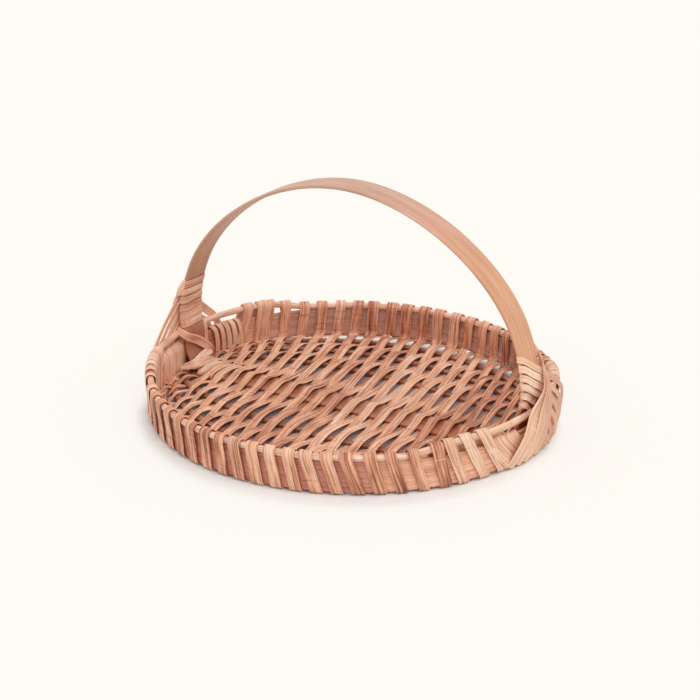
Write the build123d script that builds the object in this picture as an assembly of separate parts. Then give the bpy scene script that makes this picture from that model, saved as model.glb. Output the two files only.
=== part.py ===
from build123d import *
import os
from math import acos, asin, cos, pi, radians, sin, sqrt

# A shallow round winnowing basket: a woven floor on a bent-wood rim, with a
# fixed bow handle. Millimetres. +X runs along the handle, +Z is up, and the
# origin is on the surface that the basket stands on, under the handle's middle.

# Rim: a bent flat band with a round rod lashed along its top edge, in two halves
rim_half_length = 177.0    # middle of the band, along the handle
rim_half_width = 170.0     # middle of the band, across the handle
band_thickness = 3.0
band_height = 26.3
band_lift = 2.4            # lower edge of the band above the surface
rod_diameter = 6.0
rod_rise = 7.0             # how far the rod lifts off the band at the ears
rise_length = 36.0         # over this length, along the handle
rise_inset = 19.0          # from there to the band's end
rod_facets = 8             # the rod is shaved from a split, so it isn't quite round
rod_steps = 36             # straight lengths in each half of the rod
rod_joint = 0.4            # gap between the rod's halves, behind each foot

# Handle hoop: one flat strip, bent over the top and back under the basket
handle_width = 28.5
handle_thickness = 3.2
foot_gap = 3.5             # room for the lashings between a foot and the band
spring_height = 71.5       # where the arch starts from the upright foot
arch_rise = 132.2
arch_fullness = 0.4925     # 0.552 is an ellipse, and less is more pointed
heel_radius = 26.0         # bend between the foot and the bottom run

# Ribs: stout flat reeds from ear to ear, on each side of the hoop's bottom run
ribs_per_side = 3
rib_shrink = 0.76          # each gap between ribs to the one before it, outwards
rib_width = 5.4
rib_thickness = 3.2
rib_bow = 0.3              # how far the ribs run above the hoop's bottom run
rib_crown = 0.8            # width of the rib's flat top and bottom
rib_inset = 9.0            # from the band's end to where the rib curves would all meet
rib_stop = 18.0            # from there to the ribs' ends, inside the ears
rib_steps = 20             # straight lengths in each rib

# Weavers: long flat reeds woven across the ribs and wrapped round the rim
reed_width = 8.0
reed_thickness = 1.0
weaver_count = 8
passes_per_weaver = 5
weave_inset = 31.0         # from the band's end to the last pass, on the middle line
weave_sweep = 45.0         # degrees; more packs the passes closer at the ears
weave_lean = 0.06          # sideways drift of a pass for each mm across
pass_gap = 0.8             # least room between two passes side by side
front_slant = 8.0          # lean of a wrap along the rim, outside, at the front
back_slant = 4.5           # and at the back
wrap_slack = 0.4           # room between a wrap and the rod
weave_slack = 0.2          # room between a pass and the rib that it crosses
splice_gap = 4.0           # from one weaver's end to the next one's start

# Ears: lashings that tie the handle's feet to the rim
coil_turns = 6
coil_rise = 16.2           # middle of the lowest turn above the rod's middle
coil_pitch = 7.6
coil_reed_width = 7.0
ear_turns = 6              # turns round the rim on each side of a foot
ear_start = 20.0           # first turn, along the rim from the handle's middle
ear_pitch = 10.5
ear_slant = 3.0            # lean of an ear turn along the rim
ear_reed_width = 7.6
heel_turns = 4             # turns round the handle's heel, beside the weave
heel_from = 10.0           # degrees from the upright foot to the first turn
heel_pitch = 15.5          # degrees
heel_reed_width = 7.0
heel_slack = 0.3           # room in the hollow of the bend
stay_width = 5.8
stay_dip = 12.0            # fall of a stay across the handle's outer face
stay_lead = 7.0            # drift of a stay along the rim on its way down the band
stay_slack = 0.5           # room between the stays and the coil under them
front_stays = 3            # a broad band of strips, laid over the back ones
front_stay_rise = 4.0      # highest strip above the coil's top turn
front_stay_drop = 6.2      # from one strip to the next, down the handle
front_stay_far = 50.0      # where the highest strip meets the rim
front_stay_step = 8.0      # from one strip to the next, along the rim
back_stays = 5
back_stay_drop = 6.0
back_stay_far = 62.0
back_stay_step = 9.0

clearance = 0.1            # between pieces that bear on each other
flat_enough = 1e-6         # corners this near a plane make a flat face

# Levels worked out from the sizes above
hoop_floor = reed_thickness + clearance
hoop_level = hoop_floor + handle_thickness / 2
hoop_under_level = reed_thickness / 2
rib_under_level = rib_bow + reed_thickness / 2
rib_level = rib_under_level + reed_thickness / 2 + weave_slack + rib_thickness / 2
rib_over_level = rib_level + rib_thickness / 2 + weave_slack + reed_thickness / 2
band_top = band_lift + band_height
rod_level = band_top + clearance + rod_diameter / 2
pass_total = weaver_count * passes_per_weaver
rib_room = rim_half_width - band_thickness / 2 - handle_width / 2
rib_gap = rib_room * (1 - rib_shrink) / (1 - rib_shrink ** (ribs_per_side + 1))
coil_bottom = rod_level + coil_rise
coil_top = coil_bottom + coil_pitch * (coil_turns - 1)

# Lengths worked back from the band's end
rise_end = rim_half_length - rise_inset
rise_start = rise_end - rise_length
rib_reach = rim_half_length - rib_inset
rib_end = rib_reach - rib_stop
weave_half_length = rim_half_length - weave_inset
handle_half_span = rim_half_length - band_thickness / 2 - foot_gap - handle_thickness / 2


# The rim's curve: a point on it by its angle, moved outwards by an offset
def rim_normal(angle):
    normal = Vector(rim_half_width * cos(angle), rim_half_length * sin(angle), 0)
    return normal.normalized()


def rim_point(angle, offset, level):
    on_curve = Vector(rim_half_length * cos(angle), rim_half_width * sin(angle), level)
    return on_curve + rim_normal(angle) * offset


# Along the rim, turned to run towards +X on both sides
def rim_tangent(angle):
    normal = rim_normal(angle)
    along = Vector(normal.Y, -normal.X, 0)
    return along if sin(angle) > 0 else along * -1


# The rod's middle rides up off the band towards the ears
def rod_height(x):
    share = (abs(x) - rise_start) / (rise_end - rise_start)
    share = min(1.0, max(0.0, share))
    return rod_level + rod_rise * share * share * (3 - 2 * share)


def rod_tangent(angle):
    nudge = 0.01
    rise = rod_height(rim_point(angle + nudge, 0, 0).X) - rod_height(rim_point(angle - nudge, 0, 0).X)
    ahead = rim_point(angle + nudge, 0, rise) - rim_point(angle - nudge, 0, 0)
    return ahead if ahead.dot(rim_tangent(angle)) > 0 else ahead * -1


# The four corners of a strip's cross-section at one station, square to its path
def strip_corners(point, across, arriving, leaving, width, thickness):
    across = across.normalized()
    arriving = (arriving - across * arriving.dot(across)).normalized()
    leaving = (leaving - across * leaving.dot(across)).normalized()
    mitre = sqrt((1 + arriving.dot(leaving)) / 2)
    upwards = (arriving + leaving).normalized().cross(across)
    half_width = across * (width / 2)
    half_depth = upwards * (thickness / 2 / mitre)
    return [point + half_width + half_depth, point - half_width + half_depth,
            point - half_width - half_depth, point + half_width - half_depth]


# A solid through cross-sections with matching corners. Each face between two of
# them is one piece where it is flat, and is folded on a diagonal where it twists.
def skin(rings):
    faces = [Face(Wire.make_polygon(rings[0])), Face(Wire.make_polygon(rings[-1]))]
    for ring, following in zip(rings, rings[1:]):
        for corner in range(len(ring)):
            beside = (corner + 1) % len(ring)
            first, second = ring[corner], ring[beside]
            third, fourth = following[beside], following[corner]
            normal = (second - first).cross(fourth - first).normalized()
            if abs((third - first).dot(normal)) < flat_enough:
                faces.append(Face(Wire.make_polygon([first, second, third, fourth])))
            else:
                faces.append(Face(Wire.make_polygon([first, second, third])))
                faces.append(Face(Wire.make_polygon([first, third, fourth])))
    return Solid(Shell(faces))


# A flat strip through stations, each a point and the direction of its width
def ribbon(stations, width, thickness):
    rings = []
    for index, (point, across) in enumerate(stations):
        arriving = point - stations[max(index - 1, 0)][0]
        leaving = stations[min(index + 1, len(stations) - 1)][0] - point
        arriving = arriving if index else leaving
        leaving = leaving if index < len(stations) - 1 else arriving
        rings.append(strip_corners(point, across, arriving, leaving, width, thickness))
    return skin(rings)


def make_band():
    ring = Ellipse(rim_half_length + band_thickness / 2, rim_half_width + band_thickness / 2)
    ring -= Ellipse(rim_half_length - band_thickness / 2, rim_half_width - band_thickness / 2)
    return Pos(0, 0, band_lift) * extrude(ring, band_height)


# Half of the rod, from behind one foot to behind the other
def make_rod(side):
    joint_angle = rod_joint / 2 / rim_half_width
    points = []
    for index in range(rod_steps + 1):
        angle = side * (joint_angle + (pi - 2 * joint_angle) * index / rod_steps)
        flat = rim_point(angle, 0, 0)
        points.append(flat + Vector(0, 0, rod_height(flat.X)))
    rings = []
    for index, point in enumerate(points):
        ahead = points[min(index + 1, rod_steps)] - points[max(index - 1, 0)]
        outward = rim_normal(side * (joint_angle + (pi - 2 * joint_angle) * index / rod_steps))
        upward = ahead.cross(outward).normalized()
        corner_radius = rod_diameter / 2 / cos(pi / rod_facets)
        ring = []
        for facet in range(rod_facets):
            turn = 2 * pi * (facet + 0.5) / rod_facets
            ring.append(point + outward * corner_radius * cos(turn) + upward * corner_radius * sin(turn))
        rings.append(ring)
    return skin(rings)


# Corners of the curve that shapes half of the arch, from the top to the spring
def arch_frame(offset):
    half_span = handle_half_span + offset
    rise = arch_rise + offset
    return [(0, spring_height + rise), (arch_fullness * half_span, spring_height + rise),
            (half_span, spring_height + arch_fullness * rise), (half_span, spring_height)]


# Outline of the hoop, in the plane of the handle, moved outwards by an offset
def hoop_outline(offset):
    shoulder = Bezier(*arch_frame(offset))
    heel_x = handle_half_span - heel_radius
    heel_z = hoop_level + heel_radius
    foot = Line(arch_frame(offset)[-1], (handle_half_span + offset, heel_z))
    heel = CenterArc((heel_x, heel_z), heel_radius + offset, 0, -90)
    bottom_run = Line((heel_x, hoop_level - offset), (0, hoop_level - offset))
    half = Wire([shoulder.edge(), foot.edge(), heel.edge(), bottom_run.edge()])
    other_half = mirror(half, Plane.YZ)
    return make_face(half.edges() + other_half.edges())


def make_hoop():
    strip = hoop_outline(handle_thickness / 2) - hoop_outline(-handle_thickness / 2)
    return extrude(Plane.XZ.offset(-handle_width / 2) * strip, handle_width)


# The handle's middle line at a height on the upright foot or the lower arch
def foot_x(height):
    if height <= spring_height:
        return handle_half_span
    corners = arch_frame(0)
    above, below = 0.0, 1.0
    for _ in range(40):
        share = (above + below) / 2
        weights = ((1 - share) ** 3, 3 * share * (1 - share) ** 2, 3 * share ** 2 * (1 - share), share ** 3)
        x = sum(weight * corner[0] for weight, corner in zip(weights, corners))
        level = sum(weight * corner[1] for weight, corner in zip(weights, corners))
        if level > height:
            above = share
        else:
            below = share
    return x


# How far a rib stands off from the hoop's edge at its middle, by its number
def rib_bulge(rib):
    return rib_gap * (1 - rib_shrink ** abs(rib)) / (1 - rib_shrink)


# Distance of a rib's middle from the handle's middle line, at x
def rib_offset(rib, x):
    side = 1 if rib > 0 else -1
    return side * (handle_width / 2 + rib_bulge(rib) * sqrt(1 - (x / rib_reach) ** 2))


def rib_tangent(rib, x):
    side = 1 if rib > 0 else -1
    slope = -side * rib_bulge(rib) * x / rib_reach ** 2 / sqrt(1 - (x / rib_reach) ** 2)
    return Vector(1, slope, 0).normalized()


def make_rib(rib):
    half_angle = asin(rib_end / rib_reach)
    rings = []
    for step in range(rib_steps + 1):
        x = rib_reach * sin(half_angle * (2 * step / rib_steps - 1))
        middle = Vector(x, rib_offset(rib, x), rib_level)
        across = Vector(0, 0, 1).cross(rib_tangent(rib, x))
        ring = [middle + across * (rib_width / 2)]
        for level, side in ((1, 1), (1, -1), (0, -1), (-1, -1), (-1, 1)):
            reach = side * (rib_crown if level else rib_width) / 2
            ring.append(middle + across * reach + Vector(0, 0, level * rib_thickness / 2))
        rings.append(ring)
    return skin(rings)


# Place of a pass on the middle line, numbered from the right-hand ear
def pass_x(index):
    share = 1 - 2 * index / (pass_total - 1)
    return weave_half_length * sin(radians(weave_sweep * share)) / sin(radians(weave_sweep))


def pass_width(index):
    nearest = min(index, pass_total - 2)
    return min(reed_width, pass_x(nearest) - pass_x(nearest + 1) - pass_gap)


# Where a leaning pass crosses a rib
def crossing(index, rib):
    x = pass_x(index)
    for _ in range(6):
        x = pass_x(index) - weave_lean * rib_offset(rib, x)
    return x, rib_offset(rib, x)


def rim_angle(index, side):
    x = pass_x(index)
    for _ in range(6):
        y = side * rim_half_width * sqrt(1 - (x / rim_half_length) ** 2)
        x = pass_x(index) - weave_lean * y
    return side * acos(x / rim_half_length)


# Height of a pass where it goes over the hoop's bottom run or its heel
def hoop_over_level(index):
    edge = abs(pass_x(index)) + (pass_width(index) + weave_lean * handle_width) / 2
    into_heel = max(0.0, edge - (handle_half_span - heel_radius))
    inner_radius = heel_radius - handle_thickness / 2
    top = hoop_level + heel_radius - sqrt(inner_radius ** 2 - into_heel ** 2)
    return top + clearance + reed_thickness / 2


# One pass, over one rib and under the next, from the side it starts on
def pass_stations(index, start_side):
    stations = []
    for rib in range(-ribs_per_side, ribs_per_side + 1):
        over = (index + rib + ribs_per_side) % 2 == 0
        if rib == 0:
            level = hoop_over_level(index) if over else hoop_under_level
            for edge in (-1, 1):
                y = edge * (handle_width / 2 + reed_thickness)
                x = pass_x(index) - weave_lean * y
                stations.append((Vector(x, y, level), Vector(1, 0, 0)))
        else:
            x, y = crossing(index, rib)
            level = rib_over_level if over else rib_under_level
            stations.append((Vector(x, y, level), rib_tangent(rib, x)))
    return stations if start_side < 0 else stations[::-1]


# One turn round the band and the rod: under, up the outside, over, down inside
def wrap_stations(bottom_angle, top_angle, inner_angle):
    leg = band_thickness / 2 + clearance + reed_thickness / 2
    hug = (rod_diameter / 2 + wrap_slack + reed_thickness / 2) / cos(pi / 6)
    under = band_lift - clearance - reed_thickness / 2
    inner_level = band_lift + reed_thickness
    over = rod_height(rim_point(top_angle, 0, 0).X)
    stations = [(rim_point(bottom_angle, -leg, under), rim_tangent(bottom_angle)),
                (rim_point(bottom_angle, leg, under), rim_tangent(bottom_angle))]
    for turn in (pi / 6, pi / 2, 5 * pi / 6):
        point = rim_point(top_angle, hug * cos(turn), over + hug * sin(turn))
        stations.append((point, rod_tangent(top_angle)))
    stations.append((rim_point(inner_angle, -leg, inner_level), rim_tangent(inner_angle)))
    return stations


def make_weaver(number):
    first = number * passes_per_weaver
    last = first + passes_per_weaver - 1
    stations = []
    for index in range(first, last + 1):
        side = 1 if index % 2 == 0 else -1
        if index == first:
            angle = rim_angle(index, -side)
            begin = rim_point(angle, -band_thickness / 2 - splice_gap, rib_over_level)
            stations.append((begin, rim_tangent(angle)))
        stations += pass_stations(index, -side)
        slant = back_slant if side > 0 else front_slant
        arriving = rim_angle(index, side)
        leaving = rim_angle(min(index + 1, pass_total - 1), side)
        top = arriving + side * slant / rim_half_length
        stations += wrap_stations(arriving, top, leaving)
    return ribbon(stations, pass_width(last), reed_thickness)


# Up the handle, at a height on the right-hand foot
def foot_rise(height):
    return Vector(foot_x(height + 1) - foot_x(height - 1), 0, 2).normalized()


# The coil round the right-hand foot, from the top down
def make_coil():
    out = handle_thickness / 2 + clearance + reed_thickness / 2
    beside = handle_width / 2 + clearance + reed_thickness / 2
    stations = []
    for quarter in range(4 * coil_turns):
        face = quarter % 4
        level = coil_top - coil_pitch * quarter / 4 + coil_pitch / 2
        x = foot_x(level) + (out if face < 2 else -out)
        y = beside if face in (1, 2) else -beside
        stations.append((Vector(x, y, level), foot_rise(level)))
    return ribbon(stations, coil_reed_width, reed_thickness)


# Turns round the bend between the right-hand foot and the bottom run
def make_heel():
    hollow = heel_radius - handle_thickness / 2 - clearance - heel_slack - reed_thickness / 2
    crown = heel_radius + handle_thickness / 2 + clearance + reed_thickness / 2
    beside = handle_width / 2 + clearance + reed_thickness / 2
    middle = Vector(handle_half_span - heel_radius, 0, hoop_level + heel_radius)
    stations = []
    for quarter in range(4 * heel_turns):
        face = quarter % 4
        turn = radians(heel_from + heel_pitch * quarter / 4)
        outward = Vector(cos(turn), 0, -sin(turn))
        y = beside if face in (1, 2) else -beside
        point = middle + outward * (crown if face < 2 else hollow) + Vector(0, y, 0)
        stations.append((point, Vector(sin(turn), 0, cos(turn))))
    return ribbon(stations, heel_reed_width, reed_thickness)


# Turns round the rim, on one side of the right-hand foot
def make_ear_wraps(side):
    stations = []
    for turn in range(ear_turns):
        bottom = side * (ear_start + ear_pitch * turn) / rim_half_width
        top = bottom - side * ear_slant / rim_half_width
        following = bottom + side * ear_pitch / rim_half_width
        stations += wrap_stations(bottom, top, following)
    return ribbon(stations, ear_reed_width, reed_thickness)


# A strip across the handle's outer face, then down to the rim and over it
def make_stay(side, start_level, rim_distance, layer):
    lift = handle_thickness / 2 + clearance + 1.5 * reed_thickness + stay_slack
    lift += layer * (reed_thickness + clearance)
    beside = handle_width / 2 + clearance + reed_thickness
    end_level = start_level - stay_dip
    near = side * rim_distance / rim_half_width
    far = side * (rim_distance + stay_lead) / rim_half_width
    over_rod = rod_diameter / 2 + 2 * wrap_slack + 2 * reed_thickness
    over_band = band_thickness / 2 + clearance + wrap_slack + 1.5 * reed_thickness
    rod_middle = rod_height(rim_point(near, 0, 0).X)
    start = Vector(foot_x(start_level) + lift, -side * beside, start_level)
    end = Vector(foot_x(end_level) + lift, side * beside, end_level)
    path = [(start, Vector(0, 1, 0).cross(foot_rise(start_level))),
            (end, Vector(0, 1, 0).cross(foot_rise(end_level))),
            (rim_point(near, over_rod, rod_middle + over_rod / 2), rim_normal(near)),
            (rim_point(near, over_rod, rod_middle - over_rod / 2), rim_normal(near)),
            (rim_point(far, over_band, band_lift + reed_thickness), rim_normal(far))]
    stations = []
    for index, (point, outward) in enumerate(path):
        before = path[max(index - 1, 0)][0]
        after = path[min(index + 1, len(path) - 1)][0]
        stations.append((point, outward.cross(after - before)))
    return ribbon(stations, stay_width, reed_thickness)


def make_stays():
    stays = []
    for index in range(front_stays):
        level = coil_top + front_stay_rise - front_stay_drop * index
        stays.append(make_stay(-1, level, front_stay_far - front_stay_step * index, 1))
    for index in range(back_stays):
        level = coil_top - back_stay_drop * index
        stays.append(make_stay(1, level, back_stay_far - back_stay_step * index, 0))
    return stays


# Each ear is made at the right-hand foot and mirrored to the left-hand one
def make_ears():
    right = {
        "ear_coil": [make_coil()],
        "ear_heel": [make_heel()],
        "ear_wraps": [make_ear_wraps(-1), make_ear_wraps(1)],
        "ear_stays": make_stays(),
    }
    pieces = {}
    for name, solids in right.items():
        pieces[name + "_right"] = Compound(solids)
        pieces[name + "_left"] = Compound([mirror(solid, Plane.YZ) for solid in solids])
    return pieces


def make_basket():
    pieces = {
        "rim_band": make_band(),
        "rim_rod_front": make_rod(-1),
        "rim_rod_back": make_rod(1),
        "handle_hoop": make_hoop(),
    }
    for rib in range(1, ribs_per_side + 1):
        pieces[f"rib_front_{rib}"] = make_rib(-rib)
        pieces[f"rib_back_{rib}"] = make_rib(rib)
    for number in range(weaver_count):
        pieces[f"weaver_{number + 1}"] = make_weaver(number)
    pieces.update(make_ears())
    return pieces


os.makedirs("parts", exist_ok=True)
for name, piece in make_basket().items():
    export_step(piece, f"parts/{name}.step")
    print(name, len(piece.solids()), round(piece.volume))
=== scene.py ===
import functools
import random
from math import acos, asin, ceil, copysign, cos, pi, radians, sin, sqrt

import bpy
import numpy as np
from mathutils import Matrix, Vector


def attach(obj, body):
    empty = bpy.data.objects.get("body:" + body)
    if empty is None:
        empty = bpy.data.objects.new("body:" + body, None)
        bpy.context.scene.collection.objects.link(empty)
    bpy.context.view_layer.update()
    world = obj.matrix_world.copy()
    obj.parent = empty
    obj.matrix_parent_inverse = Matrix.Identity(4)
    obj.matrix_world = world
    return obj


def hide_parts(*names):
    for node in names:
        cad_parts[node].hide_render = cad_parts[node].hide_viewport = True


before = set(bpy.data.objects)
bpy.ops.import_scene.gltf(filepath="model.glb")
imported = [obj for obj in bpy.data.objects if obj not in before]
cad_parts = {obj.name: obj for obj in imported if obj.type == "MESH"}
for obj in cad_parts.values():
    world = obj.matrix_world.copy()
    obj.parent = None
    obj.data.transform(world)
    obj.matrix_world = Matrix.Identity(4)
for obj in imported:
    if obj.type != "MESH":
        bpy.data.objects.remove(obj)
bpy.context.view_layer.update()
scene = bpy.context.scene
mm = 0.001    # sizes below are in millimetres
upward, rightward = Vector((0, 0, 1)), Vector((1, 0, 0))
print("stage: frame loaded")


# camera: from the front right, a little above the table
cameraSetup = {
    "place": (0.8216, -1.2904, 0.6702),
    "target": (-0.00114, -0.00073, 0.05487),
    "lens": 97.7,
    "sensor": 36.0,
}


def putInScene(thing):
    scene.collection.objects.link(thing)


def makeCamera(setup):
    data = bpy.data.cameras.new("camera")
    data.lens = setup["lens"]
    data.sensor_width = setup["sensor"]
    data.clip_start = 0.05
    data.clip_end = 40.0
    camera = bpy.data.objects.new("camera", data)
    camera.location = setup["place"]
    gaze = Vector(setup["target"]) - Vector(setup["place"])
    camera.rotation_mode = "QUATERNION"
    camera.rotation_quaternion = gaze.to_track_quat("-Z", "Y")
    putInScene(camera)
    scene.camera = camera


makeCamera(cameraSetup)


# adds one node, sets its inputs and its properties, and links what is a socket or a node;
# kind leaves out the ShaderNode or GeometryNode in front
def addNode(tree, kind, inputs=None, settings=None):
    kinds = ("ShaderNode" + kind, "GeometryNode" + kind, kind)
    node = tree.nodes.new(next(name for name in kinds if hasattr(bpy.types, name)))
    for key, value in (settings or {}).items():
        setattr(node, key, value)
    for key, value in (inputs or {}).items():
        if isinstance(value, bpy.types.Node):
            value = value.outputs[0]
        if isinstance(value, bpy.types.NodeSocket):
            tree.links.new(value, node.inputs[key])
        else:
            node.inputs[key].default_value = value
    return node


def linearColour(code, alpha=1.0):
    channels = []
    for start in (0, 2, 4):
        value = int(code[start:start + 2], 16) / 255
        channels.append(value / 12.92 if value <= 0.04045 else ((value + 0.055) / 1.055) ** 2.4)
    return (*channels, alpha)


def fillRamp(ramp, stops):
    while len(ramp.elements) < len(stops):
        ramp.elements.new(1.0)
    for element, (place, code) in zip(ramp.elements, stops):
        element.position = place
        element.color = linearColour(code)


# settings that many nodes share
times, timesPlus, minus = {"operation": "MULTIPLY"}, {"operation": "MULTIPLY_ADD"}, {"operation": "SUBTRACT"}
divided, toPower, unsigned = {"operation": "DIVIDE"}, {"operation": "POWER"}, {"operation": "ABSOLUTE"}
larger, oneNumber = {"operation": "MAXIMUM"}, {"data_type": "FLOAT"}
smoothly = {"interpolation_type": "SMOOTHSTEP"}


def seenShare(add):    # 1 where the camera sees it, straight, mirrored or through something clear
    path = add("LightPath").outputs
    seen = add("Math", {0: path["Is Camera Ray"], 1: path["Is Glossy Ray"]}, larger)
    return add("Math", {0: seen, 1: path["Is Transmission Ray"]}, larger)


def softStep(share):    # from 0 to 1 with no corner
    share = min(1.0, max(0.0, share))
    return share * share * (3 - 2 * share)


# materials
# Grain follows three attributes of each strip: alongReed in metres, acrossReed from -1 to 1
# and reedSeed, its own number. In a finish, fibre is the width and length of one.

# flat reed: split rattan core, smoked; dull, with open fibres and dark lines where they part.
# Its fibres are drawn wider than they are, so that they show.
flatReedFinish = {
    "stops": [(0.12, "854833"), (0.32, "C58062"), (0.5, "E9A682"), (0.68, "F9C3A0"), (0.9, "FFDCC3")],
    "fibre": (1.5, 70), "halfWidth": 4, "gain": 1.6, "crack": ("753F2D", 0.6),
    "roughness": 0.6, "bump": 0.45, "tint": 0.09,
}
# lashing reed: the same rattan, picked paler and suppler for the ears
lashingReedFinish = {
    "stops": [(0.1, "965C47"), (0.28, "DA9C7E"), (0.46, "F6C0A0"), (0.66, "FFD8BD"), (0.9, "FFEBDB")],
    "fibre": (1.8, 80), "halfWidth": 4, "gain": 1.3, "crack": ("7C4634", 0.5),
    "roughness": 0.58, "bump": 0.4, "tint": 0.1,
}
# spine and barb reed: the palest strips, kept for the outside of the ears
spineReedFinish = {
    "stops": [(0.1, "A2694F"), (0.27, "DFA584"), (0.44, "F8C7A6"), (0.66, "FFDCC0"), (0.9, "FFEDDA")],
    "fibre": (1.7, 90), "halfWidth": 3.8, "gain": 1.25, "crack": ("84503C", 0.3),
    "roughness": 0.56, "bump": 0.4, "tint": 0.08,
    # darker out towards the back of the right-hand ear, where the barbs lie, than on the spine
    "stainsAndPaintedLight": [((1, 0.5, 0), 178, 192, "E9DCD8")],
}
# round rod: peeled willow, close-grained and a little glossier than the reed
peeledRodFinish = {
    "stops": [(0.16, "B87F63"), (0.36, "E5AE90"), (0.54, "F8C6A8"), (0.78, "FFDEC8")],
    "fibre": (1.6, 60), "halfWidth": 3, "gain": 1.4, "crack": ("8C5238", 0.5),
    "roughness": 0.5, "bump": 0.25, "tint": 0.06,
}
# rib reed: the same rattan, thicker, and painted darker for the shade in the gaps of the weave where it shows
ribReedFinish = {
    "stops": [(0.18, "6A3927"), (0.4, "A26447"), (0.58, "C07E5B"), (0.82, "DD9E79")],
    "fibre": (1.5, 50), "halfWidth": 2.7, "gain": 1.5, "crack": ("57301F", 0.6),
    "roughness": 0.62, "bump": 0.35, "tint": 0.08,
}
# rim band: steamed ash splint, planed, with long dark pores; darker towards the front left, darker and cooler
# towards the back, and painted darker at its left end for the shade between the wraps there
bentAshFinish = {
    "stops": [(0.16, "C07D62"), (0.38, "EEAA88"), (0.58, "FFC29E"), (0.84, "FFD9B8")],
    "fibre": (1.6, 60), "halfWidth": 13.1, "gain": 1.3, "crack": ("8E5A44", 0.35),
    "roughness": 0.5, "bump": 0.3, "tint": 0,
    # the mark at the left end, 168 to 182 mm out, is painted shade
    "stainsAndPaintedLight": [((-0.7, -1, 0), 35, 85, "D1B4B5"), ((-1, -0.35, 0), 168, 182, "B4A4A4"),
               ((0, 1, 0), 50, 130, "CED5E6")],
}
# handle: the same ash, paler and sanded smooth for the hand; painted darker from 58 mm down for the shade the
# runner lies in under the weave, painted warmer on the right leg for the light on it, and painted cooler from
# the middle leftwards for the shade there
handleAshFinish = {
    "stops": [(0.14, "B07764"), (0.38, "D0977C"), (0.6, "E0A890"), (0.86, "EFC3AF")],
    "fibre": (1.9, 110), "halfWidth": 14.2, "gain": 0.95, "crack": ("A66F5C", 0.12),
    "roughness": 0.42, "bump": 0.14, "tint": 0,
    # painted shade low down, painted warm light on the right leg, painted cool shade from the middle
    # leftwards
    "stainsAndPaintedLight": [((0, 0, -1), -58, -34, "DFB6A1"), ((1, 0, 0), 60, 150, "FFFBE1"),
               ((-1, 0, 0), -100, -20, "F3FFFF")],
}


# shared by all of them; scales are in fibre lengths and widths
woodPattern = {
    "seedStep": 7.31, "detail": 4.0, "mixing": 0.62, "blotchScale": (2.6, 0.22, 1.7), "blotchShare": 0.45,
    "middle": 0.725, "crackScale": (0.8, 1.25, 1.0), "crackShift": (3.1, 5.7, 9.2),
    "crackEdges": (0.008, 0.035), "bumpHeight": 0.4,
}


def makeWood(name, finish):
    pattern = woodPattern
    material = bpy.data.materials.new(name)
    material.use_nodes = True
    tree = material.node_tree
    add = functools.partial(addNode, tree)
    shader = tree.nodes["Principled BSDF"]
    shader.inputs["Roughness"].default_value = finish["roughness"]
    along, across, seed = [add("Attribute", None,
                               {"attribute_name": name}).outputs["Fac"] for name in ("alongReed",
                                                                                     "acrossReed",
                                                                                     "reedSeed")]
    alongFibre = add("Math", {0: along, 1: finish["fibre"][1] * mm}, divided)
    acrossFibre = add("Math", {0: across, 1: finish["halfWidth"] / finish["fibre"][0]}, times)
    ownPattern = add("Math", {0: seed, 1: pattern["seedStep"]}, times)
    place = add("CombineXYZ", {0: alongFibre, 1: acrossFibre, 2: ownPattern})
    fibres = add("TexNoise",
                 {"Vector": place, "Scale": 1.0, "Detail": pattern["detail"], "Roughness": pattern["mixing"]})
    # blotches a few centimetres long, where the smoke took unevenly
    blotchPlace = add("VectorMath", {0: place, 1: pattern["blotchScale"]}, times)
    blotches = add("TexNoise", {"Vector": blotchPlace, "Scale": 1.0, "Detail": 2.0})
    stripTone = add("TexWhiteNoise", {"W": seed}, {"noise_dimensions": "1D"})
    toned = add("MapRange", {"Value": stripTone, "To Min": -finish["tint"], "To Max": finish["tint"]})
    mixed = add("Math", {0: blotches, 1: pattern["blotchShare"], 2: toned}, timesPlus)
    combined = add("Math", {0: fibres, 1: 1.0, 2: mixed}, timesPlus)
    # the noises meet at pattern["middle"], so this spreads them about the middle of the ramp
    level = add("Math", {0: combined, 1: finish["gain"], 2: 0.5 - pattern["middle"] * finish["gain"]},
                timesPlus)
    ramp = add("ValToRGB", {"Fac": level})
    fillRamp(ramp.color_ramp, finish["stops"])
    # dark lines where fibres have parted
    crackPlace = add("VectorMath", {0: place, 1: pattern["crackScale"], 2: pattern["crackShift"]}, timesPlus)
    crackNoise = add("TexNoise", {"Vector": crackPlace, "Scale": 1.0, "Detail": 2.0})
    crackCentre = add("Math", {0: crackNoise, 1: 0.5}, minus)
    crackAway = add("Math", {0: crackCentre}, unsigned)
    crackShare = add("MapRange",
                     {"Value": crackAway, "From Min": pattern["crackEdges"][0],
                      "From Max": pattern["crackEdges"][1], "To Min": finish["crack"][1], "To Max": 0.0})
    cracked = add("Mix", {"Factor": crackShare, 6: ramp, 7: linearColour(finish["crack"][0])},
                  {"data_type": "RGBA"})
    coloured = cracked.outputs[2]
    for way, low, high, markColour in finish.get("stainsAndPaintedLight", []):    # marks by place: stains, and in some finishes painted shade and painted light
        where = add("TexCoord")
        reach = add("VectorMath", {0: where.outputs["Object"], 1: way}, {"operation": "DOT_PRODUCT"})
        markShare = add("MapRange",
                      {"Value": reach.outputs["Value"], "From Min": low * mm, "From Max": high * mm},
                      smoothly)
        darker = add("Mix", {"Factor": markShare, 6: coloured, 7: linearColour(markColour)},
                     {"data_type": "RGBA", "blend_type": "MULTIPLY"})
        coloured = darker.outputs[2]
    tree.links.new(coloured, shader.inputs["Base Color"])
    bump = add("Bump", {"Height": fibres, "Strength": finish["bump"], "Distance": pattern["bumpHeight"] * mm})
    tree.links.new(bump.outputs["Normal"], shader.inputs["Normal"])
    return material


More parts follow.
